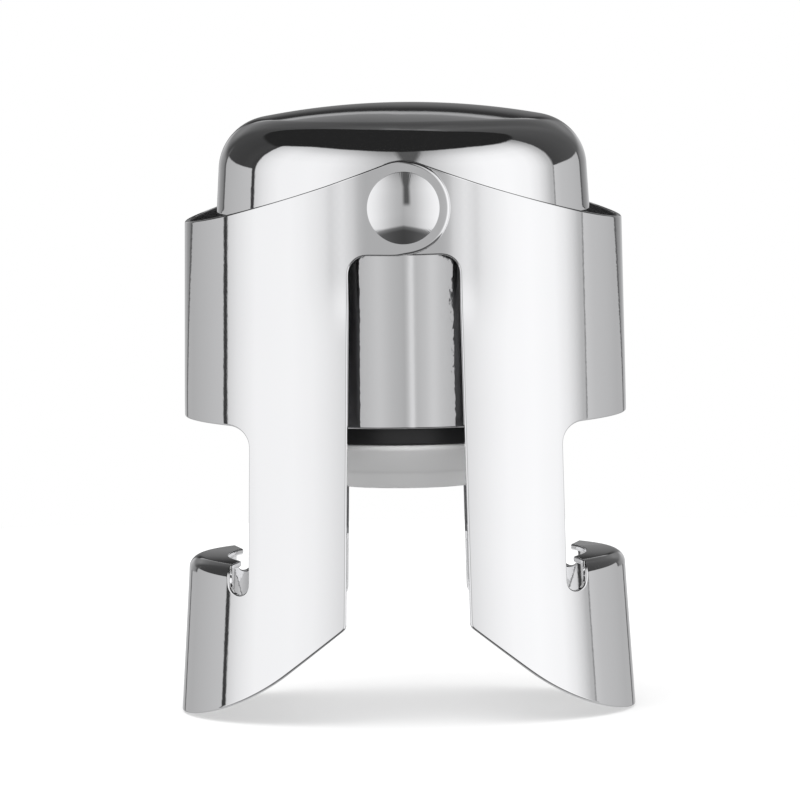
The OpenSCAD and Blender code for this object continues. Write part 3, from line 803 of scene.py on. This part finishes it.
# %% Chrome
CHROME_TONES = (0.892, 0.893, 0.898, 1), (0.908, 0.909, 0.912, 1)
HAZE_MM, HAZE_LEAST, HAZE_MORE = 9.0, 0.028, 0.012
POLISH_MM, POLISH_SHARE = 0.7, 0.22


def chrome_finish(name, wave_mm, wave_height_mm):
    """Roughness wanders between two low values. A very low bump of long waves and short polishing marks bends the
    reflections."""
    m, shop, bsdf = finish_material(name, Metallic=1.0, IOR=1.6)
    patches = shop.noise(HAZE_MM, 3.0, 0.55)
    height = shop.noise(wave_mm, 1.0, 0.4) + POLISH_SHARE * shop.noise(POLISH_MM, 2.0, 0.6)
    shop.plug(bsdf, Base_Color=shop.blend(patches, *CHROME_TONES), Roughness=HAZE_LEAST + HAZE_MORE * patches,
              Normal=shop.bump(height, 1.0, wave_height_mm))
    print(f"{name}: waves {wave_mm} mm long, {wave_height_mm * 1000:.1f} micrometres high")
    return m


pressed_chrome = chrome_finish("pressed_chrome", 7.0, 0.010)
arm_chrome = chrome_finish("arm_chrome", 7.0, 0.010)
sleeve_chrome = chrome_finish("sleeve_chrome", 5.0, 0.004)
rivet_chrome = chrome_finish("rivet_chrome", 5.0, 0.002)

# %% [markdown]
# The inner faces of the arms are taken to be unpolished, so they are rougher, and their colour is darkened as painted
# shade for the narrow gaps behind the arms. A face is an inner one where its own normal points at the axis and it is
# part of the wall, further out than the lips and above them.

# %% Dull inner faces of the arms, darkened as painted shade
# the dark base colour of the inner faces is painted shade for the gaps behind the arms; their higher roughness is their
# own
INNER_SHADE_TONE, DULL_ROUGHNESS = (0.20, 0.20, 0.205, 1), 0.42
WALL_LEAST_R, LIP_TOP_Z = 19.4, 16.0
shop = Shop(arm_chrome.node_tree, keep=True)
bsdf = next(n for n in shop.tree.nodes if n.type == "BSDF_PRINCIPLED")
px, py, height = shop.parts(shop.here())
nx, ny, _ = shop.parts(shop.here("Normal"))
out_r = shop.maths("POWER", px * px + py * py, 0.5)
inner = ((px * nx + py * ny) / out_r < -0.5) * (out_r > WALL_LEAST_R * MM) * (height > LIP_TOP_Z * MM)
tone, rough = (Wire(shop, bsdf.inputs[name].links[0].from_socket) for name in ("Base Color", "Roughness"))
shop.plug(bsdf, Base_Color=shop.blend(inner, tone, INNER_SHADE_TONE), Roughness=rough + inner * (DULL_ROUGHNESS - rough))
print("inner faces of the arms dulled")

# %% [markdown]
# ### Reliefs in the plate
# A mirror tells its slope to a fraction of a degree, far more finely than its outline does. In the photograph three
# places mirror the room as another slope than the solid's would: the arms' fronts beside the rivets are rounder than a
# flat ear, the rivets' heads are much shallower, and the sleeve mirrors the window's light over nearly the window's
# whole width. The solids stay as they are, so each place gets a relief in its material. None of them is small: about
# 0.5 mm on the arms and the sleeve and 1.8 mm on the rivets, whose normals turn by up to 44 degrees. In a new model the
# shapes themselves would be changed, since a relief is right only in the light and the view that it was made for.
# With s the length along the surface, a relief of height h turns the mirror's normal by arctan(dh/ds), so
#
# $$ h(s) = \int \tan(\theta_{own} - \theta_{wanted})\, ds $$

# %% Relief helpers
RAMP_STOPS = 32


def relief_from(across, own, wanted, ds, soften=0):
    """Heights in mm along the samples: the running sum of tan(own - wanted) ds. The slope is averaged over a few samples
    to either side first."""
    window = 2 * soften + 1
    slope = np.convolve(np.pad(np.tan(own - wanted), soften, mode="edge"), np.ones(window) / window, mode="valid")
    return np.concatenate([[0], np.cumsum((slope[1:] + slope[:-1]) / 2 * np.diff(across) * (ds[1:] + ds[:-1]) / 2)])


def add_relief(position, span, across, height, fade=1.0):
    """Puts a relief under a chrome's own waves: a smooth ramp of heights over the given span of the position."""
    shop = position.shop
    waves = next(n for n in shop.tree.nodes if n.type == "BUMP")
    low, high = float(height.min()), float(height.max())
    shares = np.linspace(0, 1, RAMP_STOPS)
    heights = np.interp(span[0] + shares * (span[1] - span[0]), across, height)
    stops = list(zip(shares.tolist(), ((heights - low) / (high - low)).tolist()))
    ramp = shop.node("ShaderNodeValToRGB", {"Fac": (position - span[0]) / (span[1] - span[0])}, stops=stops)
    ramp.socket.node.color_ramp.interpolation = "B_SPLINE"
    level = (shop.node("ShaderNodeSeparateColor", {"Color": ramp}) * (high - low) + low) * fade
    shop.plug(waves, Normal=shop.bump(level, 1.0, 1.0))
    print(f"relief from {low:.3f} to {high:.3f} mm over {span[1] - span[0]:.2f}")


# %% Rounder fronts of the arms
FRONT_END, FLAT_END, FLAT_BLEND = 18.0, 6.35, 0.7
# the turn in degrees that the front seems to have at each distance from the middle
SEEN_TURNS = [(0, 0), (4.1, 0), (4.7, 10), (5.4, 13), (6.4, 14.6), (7.4, 16.6), (8.4, 18.9), (9.4, 21.9), (10.4, 25.6),
              (11.6, 31.7)]
FADE_DROPS = 14.0, 5.5
seen_x, seen_turn = np.array(SEEN_TURNS).T
x = np.linspace(0, FRONT_END, 1801)
own = np.arcsin(x / ARM_R) * smooth_step((x - FLAT_END) / FLAT_BLEND)
wanted = np.where(x < seen_x[-1], np.radians(np.interp(x, seen_x, seen_turn)), own)
height = relief_from(x, own, wanted, 1 / np.cos(own), soften=12)
shop = Shop(arm_chrome.node_tree, keep=True)
px, _, pz = shop.parts(shop.here())
near_ears = shop.step(pz / MM, PIVOT_Z - FADE_DROPS[0], PIVOT_Z - FADE_DROPS[1])
add_relief(shop.maths("ABSOLUTE", px / MM), (0, FRONT_END), x, height - height[-1], near_ears)

# %% Shallower rivets
SEEN_SPHERE_R = 8.35
own = np.linspace(0, math.asin(HEAD_R / HEAD_SPHERE_R), 600)
wanted = np.arcsin(HEAD_SPHERE_R * np.sin(own) / SEEN_SPHERE_R)
height = relief_from(own, own, wanted, HEAD_SPHERE_R + 0 * own)
shop = Shop(rivet_chrome.node_tree, keep=True)
px, _, pz = shop.parts(shop.here())
rx, rz = px / (HEAD_SPHERE_R * MM), (pz - PIVOT_Z * MM) / (HEAD_SPHERE_R * MM)
off_axis = shop.maths("POWER", rx * rx + rz * rz, 0.5)
add_relief(shop.maths("ARCSINE", off_axis), (0, float(own[-1])), own, height)

# %% [markdown]
# On the sleeve the mirrored ray has to pass the window's half width in front of it. A narrow bright line stands beside
# the middle, and the light ends a little inside the window's edges.

# %% Flatter front of the sleeve
REACH, GAP_HALF, GAP_AHEAD = 5.9, 5.7, 6.3
LEFT_SHARE, RIGHT_SHARE, LEFT_END, RIGHT_END, END_BLEND = 0.36, 0.43, 4.7, 5.3, 0.25
LINE_X, LINE_HALF, LINE_TURN, WANDER_MM, WANDER = 0.62, 0.27, math.radians(15), 1.1, 0.05
x = np.linspace(-REACH, REACH, 1181)
own = np.arcsin(x / SLEEVE_R)
to_edge = np.arctan(np.maximum(GAP_HALF - np.abs(x), 0.02) / GAP_AHEAD)
wanted = np.sign(x) * np.minimum(np.abs(own), np.where(x < 0, LEFT_SHARE, RIGHT_SHARE) * to_edge)
wanted += np.clip((np.abs(x) - np.where(x < 0, LEFT_END, RIGHT_END)) / END_BLEND, 0, 1) * (own - wanted)
wanted += LINE_TURN * np.exp(-((x - LINE_X) / LINE_HALF) ** 4)
height = relief_from(x, own, wanted, 1 / np.cos(own), soften=8)
shop = Shop(sleeve_chrome.node_tree, keep=True)
wander = WANDER * (shop.noise(WANDER_MM, 2.0) - 0.5)
add_relief(shop.parts(shop.here())[0] / MM + wander, (-REACH, REACH), x, height)

# %% [markdown]
# ### Black plastic, rubber and spring steel
# The plunger and core are moulded in black plastic with a fine spark-eroded grain. The seal is cloudy silicone, with
# painted shade as a slightly darker band in the crease where its cone meets the plug and at its top under the plunger.
# The spring and clip are plain drawn steel.

# %% Moulded black plastic
black_plastic, shop, bsdf = finish_material("moulded_black", IOR=1.5)
grain, cloud = shop.noise(0.25, 2.0), shop.noise(4.0, 3.0)
shop.plug(bsdf, Base_Color=shop.blend(cloud, (0.012, 0.012, 0.013, 1), (0.022, 0.022, 0.023, 1)),
          Roughness=0.37 + 0.1 * cloud, Normal=shop.bump(grain, 0.6, 0.012))

# %% Cloudy silicone
# the darker stop at 0.36 is painted shade in the crease where the cone meets the plug, and the darker top stop is
# painted shade under the plunger
SEAL_TONES_WITH_SHADE = [(0.0, 0.96), (0.30, 0.92), (0.36, 0.84), (0.42, 0.92), (0.9, 0.95), (1.0, 0.90)]
silicone, shop, bsdf = finish_material("cloudy_silicone", IOR=1.42, Subsurface_Weight=0.35, Subsurface_Scale=0.002,
                                       Subsurface_Radius=(1, 1, 1))
cloud = shop.noise(3.5, 3.0)
low_z = (PIVOT_Z + SEAL_LOW) * MM
level = (shop.parts(shop.here())[2] - low_z) / ((CONE_H + PLUG_H) * MM)
band = shop.node("ShaderNodeValToRGB", {"Fac": level + 0.06 * (cloud - 0.5)}, stops=SEAL_TONES_WITH_SHADE)
shop.plug(bsdf, Base_Color=shop.blend(0.12, band, (0.93, 0.94, 0.94, 1)), Roughness=0.38 + 0.10 * cloud,
          Normal=shop.bump(shop.noise(0.3, 1.0), 0.4, 0.006))

# %% Drawn steel
steel, shop, bsdf = finish_material("drawn_steel", Metallic=1.0)
stretched = shop.node("ShaderNodeMapping", {"Vector": shop.here(), "Scale": (1, 1, 12)})
drawn = shop.noise(0.8, 4.0, at=stretched)
shop.plug(bsdf, Base_Color=shop.blend(drawn, (0.42, 0.42, 0.44, 1), (0.60, 0.60, 0.61, 1)),
          Roughness=0.22 + 0.18 * drawn, Normal=shop.bump(drawn, 0.5, 0.01))

# %% Dress the pieces
def dress(piece, body, node, finish):
    """The piece stands for a CAD node, rides its body and wears a finish."""
    piece.data.materials.clear()
    piece.data.materials.append(finish)
    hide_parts(node)
    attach(piece, body)


dress(cap, "head", "cap", pressed_chrome)
dress(sleeve, "head", "sleeve", sleeve_chrome)
dress(rivets, "head", "rivets", rivet_chrome)
dress(plunger, "plunger_unit", "plunger", black_plastic)
dress(seal, "plunger_unit", "seal", silicone)
dress(left_arm, "left_wing", "left_arm", arm_chrome)
dress(right_arm, "right_wing", "right_arm", arm_chrome)
dress(coil, "head", "spring", steel)
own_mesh(coil)
for node, finish in {"core": black_plastic, "spacers": black_plastic, "retaining_clip": steel}.items():
    for slot in frame["nodes"][node].material_slots:
        slot.material = finish
print("dressed", len(frame["nodes"]), "nodes")

# %% [markdown]
# ## Studio
# A mirror is only as good as what it mirrors. The photograph's cap is a convex mirror that shows nearly the whole room:
# two wide white boxes in front that grow greyer where they meet, dark grey walls beside and behind them, a strip of pale
# table low at the sides and an open dark ceiling. Here the world carries that room, as a formula of the direction, for
# glossy rays alone. Other rays meet plain soft white, and the camera sees a white backdrop.

# %% Directions and ramps
world = bpy.data.worlds.new("studio")
world.use_nodes = True
bpy.context.scene.world = world
shop = Shop(world.node_tree)
dir_x, dir_y, dir_z = shop.parts(shop.here("Generated"))
degrees = 180 / math.pi
side = shop.maths("ARCTAN2", dir_x, -1 * dir_y) * degrees
around = shop.maths("ABSOLUTE", side)
tilt = shop.maths("ARCTAN2", dir_z, shop.maths("POWER", dir_x * dir_x + dir_y * dir_y, 0.5)) * degrees


def grey(value):
    """A grey of the photograph, 0 to 255, as the linear light that shows it after the chrome's own loss."""
    c = value / 255
    return (c / 12.92 if c <= 0.04045 else ((c + 0.055) / 1.055) ** 2.4) / 0.9


def table(angle, low, high, pairs, of=grey):
    """A ramp through (angle, value) pairs from low to high degrees, each value passed through a function."""
    stops = [((p - low) / (high - low), of(v)) for p, v in pairs]
    ramp = shop.node("ShaderNodeValToRGB", {"Fac": (angle - low) / (high - low)}, stops=stops)
    return shop.node("ShaderNodeSeparateColor", {"Color": ramp})


def angles(low, high, pairs, most=90):
    """A table by the side angle whose values are angles too, up to the given one."""
    return table(side, low, high, pairs, of=lambda v: v / most) * most


def past(value, edge, soft):
    """0 below the edge, 1 above it, with a smooth step of the given half width."""
    return shop.step(value, edge - soft, edge + soft)


def mixed(a, b, share):
    """a where the share is 0, b where it is 1."""
    return a + share * (b - a)


print("direction helpers ready")

# %% [markdown]
# All angles are in degrees: `side` is 0 in front of the stopper and 180 behind it, and `tilt` is the height above the
# horizon. Each table gives greys by one of them.

# %% White boxes in front
BOX_LEFT, BOX_RIGHT = -106, 108.9
front = table(side, -110, 110, [
    (-110, 186), (-104, 210), (-98, 224), (-91, 234), (-84, 241), (-60, 243), (-48, 239), (-40, 231), (-34, 222),
    (-26, 208), (-18, 193), (-10, 181), (0, 170), (10, 181), (16, 190), (22, 204), (30, 219), (38, 232), (45, 240),
    (54, 247), (70, 250), (86, 245), (94, 231), (100, 210), (106, 178)])
table_tilt = tilt + 0.16 * shop.maths("MINIMUM", around, 60)
front = front * table(table_tilt, -90, 0, [(-90, 0.10), (-32, 0.13), (-27, 0.30), (-24, 0.92), (-8, 1)], of=float)
front = front * table(tilt, -90, 90, [(22, 1), (33, 0.94), (39, 0.85), (45, 0.70), (52, 0.54)], of=float)
SLIT_SIDE, SLIT_HALF, SLIT_WIDENS, SLIT_FROM, SLIT_GREY = 4.5, 4.5, 0.25, 28, 84
slit_half = SLIT_HALF + SLIT_WIDENS * shop.maths("MAXIMUM", tilt - SLIT_FROM, 0)
slit = (1 - past(shop.maths("ABSOLUTE", side - SLIT_SIDE) - slit_half, 0, 3.0)) * past(tilt, 3, 4)
front = mixed(front, grey(SLIT_GREY), slit)
print("white boxes from", BOX_LEFT, "to", BOX_RIGHT, "degrees")

# %% Dark walls beside and behind
walls = table(side, -180, 180, [
    (-150, 68), (-138, 62), (-124, 59), (-112, 63), (-107, 56), (107, 62), (112, 64), (122, 69), (132, 74), (142, 78),
    (152, 88)])
behind = table(tilt, -6, 70, [
    (-4, 176), (0, 150), (6, 134), (10, 118), (16, 121), (19, 108), (23, 94), (30, 82), (45, 76), (57, 84), (64, 90),
    (66.5, 112), (68, 106)])
lift = angles(-180, 180, [(-180, 4), (-178, 1.5), (-176, 0), (-168, 0), (168, 8), (174, 5), (178, 4)], most=10)
far_behind = table(tilt - lift, -6, 70, [
    (-4.2, 190), (-3.4, 124), (-1, 116), (4, 98), (7, 72), (9, 50), (11.2, 46), (12.4, 150), (13.6, 164), (14.8, 122),
    (17, 112), (21, 96), (28, 82), (42, 72), (54, 80), (60, 90), (62.5, 110), (64, 104)])
BEHIND_FROM, FAR_FROM = 157, 172
straight_behind = past(around, FAR_FROM, 1.8)
walls = mixed(walls, behind, past(around, BEHIND_FROM, 6))
walls = mixed(walls, far_behind, straight_behind)
room = mixed(walls, front, past(side, BOX_LEFT, 0.9) * (1 - past(side, BOX_RIGHT, 1.4)))
print("walls darken again from", FAR_FROM, "degrees")

# %% Pale table at the sides
low_table = table(side, -180, 180, [
    (-146, 170), (-130, 178), (-110, 188), (109, 196), (118, 187), (134, 180), (146, 173)])
table_top = angles(-180, 180, [(-147, 7.6), (-110, 5.2), (109, 4.6), (120, 6.2), (147, 7.8)])
TABLE_START, CORNER, CORNER_LOWER, CORNER_TILT = 109.5, 147.5, 12.5, -3.2
past_corner = around - (CORNER + CORNER_LOWER * (1 - past(tilt, CORNER_TILT, 0.8)))
on_table = past(around, TABLE_START, 0.6) * (1 - past(past_corner, 0, 0.8)) * (1 - past(tilt - table_top, 0, 0.7))
room = mixed(room, low_table, on_table)
beyond_corner = past(past_corner, 2.4, 1.4)
dim_corner = past(past_corner, -0.6, 0.8) * (1 - beyond_corner) * (1 - past(tilt, 13, 3))
room = mixed(room, grey(86), dim_corner)
floor_behind = table(around, 150, 180, [(150, 116), (157, 138), (162, 154), (171, 188)])
room = mixed(room, floor_behind, beyond_corner * (1 - past(tilt, 6, 3)) * (1 - straight_behind))
print("table from", TABLE_START, "to", CORNER, "degrees")

# %% Dark ceiling
CEILING_GREY = 36
ceiling_edge = angles(-180, 180, [
    (-180, 68), (-170, 65.5), (-162, 61), (-157, 52), (-153, 42), (-149, 36), (-142, 34.5), (-130, 36), (-110, 37.5),
    (-106, 41), (-98, 44.5), (-90, 47.5), (-80, 50.5), (-66, 52), (-40, 53), (0, 51.5), (40, 53), (62, 52.5), (74, 51),
    (90, 49), (112, 48), (120, 49.5), (127, 52), (134, 60), (140, 65), (148, 69), (165, 69.5), (180, 68)])
studio = mixed(room, grey(CEILING_GREY), past(tilt - ceiling_edge, 0, 1.3))
print("studio of", len(world.node_tree.nodes), "nodes")

# %% Who sees the room
is_camera, is_glossy, is_through = shop.rays("Camera", "Glossy", "Transmission")
room_light = shop.node("ShaderNodeCombineColor", {0: studio, 1: studio, 2: studio * 1.01})
mirrored = shop.node("ShaderNodeBackground", {"Color": room_light, "Strength": 1.0})
plain, white = (shop.node("ShaderNodeBackground", {"Color": (1, 1, 1, 1), "Strength": s}) for s in (1.35, 1.0))
lit = shop.node("ShaderNodeMixShader", {0: is_glossy, 1: plain, 2: mirrored})
shop.finish(shop.node("ShaderNodeMixShader", {0: is_camera + is_through, 1: lit, 2: white}), "ShaderNodeOutputWorld")

# %% A soft lamp from above
lamp_data = bpy.data.lights.new("soft_box", "AREA")
lamp_data.shape, lamp_data.size, lamp_data.size_y, lamp_data.energy = "RECTANGLE", 0.5, 0.5, 1.6
lamp = bpy.data.objects.new("soft_box", lamp_data)
lamp.location = (-0.15, -0.35, 0.55)
lamp.rotation_euler = (Vector((0, 0, 0.03)) - lamp.location).to_track_quat("-Z", "Y").to_euler()
lamp.visible_glossy = False
bpy.context.scene.collection.objects.link(lamp)
print("lamp at", [round(v, 2) for v in lamp.location], "m")

# %% [markdown]
# ## Floor and camera
# The floor is a plain pale disc that keeps a soft shadow. Mirrored rays pass through it, so that the arms show the
# studio down to their feet, as in the photograph.

# %% Floor
FLOOR_R, FLOOR_SIDES, FLOOR_Z = 0.22, 128, -2e-5
a = np.linspace(0, 2 * math.pi, FLOOR_SIDES, endpoint=False)
rim = np.column_stack([FLOOR_R * np.cos(a), FLOOR_R * np.sin(a), 0 * a + FLOOR_Z])
floor_mesh = bpy.data.meshes.new("pale_floor")
floor_mesh.from_pydata(rim.tolist(), [], [list(range(FLOOR_SIDES))])
floor = bpy.data.objects.new("pale_floor", floor_mesh)
bpy.context.scene.collection.objects.link(floor)
floor_material = bpy.data.materials.new("pale_floor")
floor_material.use_nodes = True
shop = Shop(floor_material.node_tree)
is_camera, is_glossy, is_through = shop.rays("Camera", "Glossy", "Transmission")
matt = shop.node("ShaderNodeBsdfDiffuse", {"Color": (0.50, 0.50, 0.50, 1)})
glow = shop.node("ShaderNodeEmission", {"Color": (1, 1, 1, 1), "Strength": 0.42 * is_camera})
pale = shop.node("ShaderNodeAddShader", {0: matt, 1: glow})
clear = shop.node("ShaderNodeBsdfTransparent")
shop.finish(shop.node("ShaderNodeMixShader", {0: is_glossy + is_through, 1: pale, 2: clear}))
floor.data.materials.append(floor_material)
floor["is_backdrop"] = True
print("floor of", FLOOR_R, "m radius")

# %% Camera
DISTANCE, TILT_DOWN, ROLL, PICTURE = 0.95, math.radians(4.2), math.radians(0.70), 800
aim = Vector((-0.00055, 0, 0.0312))
camera_data = bpy.data.cameras.new("photo_camera")
camera_data.sensor_width, camera_data.lens = 36.0, 422.0
camera_data.clip_start, camera_data.clip_end = 0.01, 10
camera = bpy.data.objects.new("photo_camera", camera_data)
bpy.context.scene.collection.objects.link(camera)
back = Vector((0, -math.cos(TILT_DOWN), math.sin(TILT_DOWN)))
facing = (-back).to_track_quat("-Z", "Y").to_matrix().to_4x4()
camera.matrix_world = Matrix.Translation(aim + back * DISTANCE) @ facing @ Matrix.Rotation(-ROLL, 4, "Z")
bpy.context.scene.camera = camera


def pixel(x, y, z):
    """Where a point in mm lands in the picture."""
    v = camera.matrix_world.inverted() @ Vector((x * MM, y * MM, z * MM))
    scale = camera_data.lens / camera_data.sensor_width * PICTURE / -v.z
    return round(PICTURE / 2 + scale * v.x, 1), round(PICTURE / 2 - scale * v.y, 1)


print("pivot on the axis at", pixel(0, 0, PIVOT_Z), "- base centre at", pixel(0, 0, 0))

# %% View settings and closing
bpy.context.scene.view_settings.view_transform = "Standard"
# light goes back and forth between the arms and the sleeve many times before it gets out
bpy.context.scene.cycles.max_bounces = 24
bpy.context.scene.cycles.glossy_bounces = 24
final_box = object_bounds()
for name, box in (("CAD", cad_box), ("visual", final_box)):
    print(name, "box in mm:", [[round(c * 1000, 2) for c in v] for v in box])
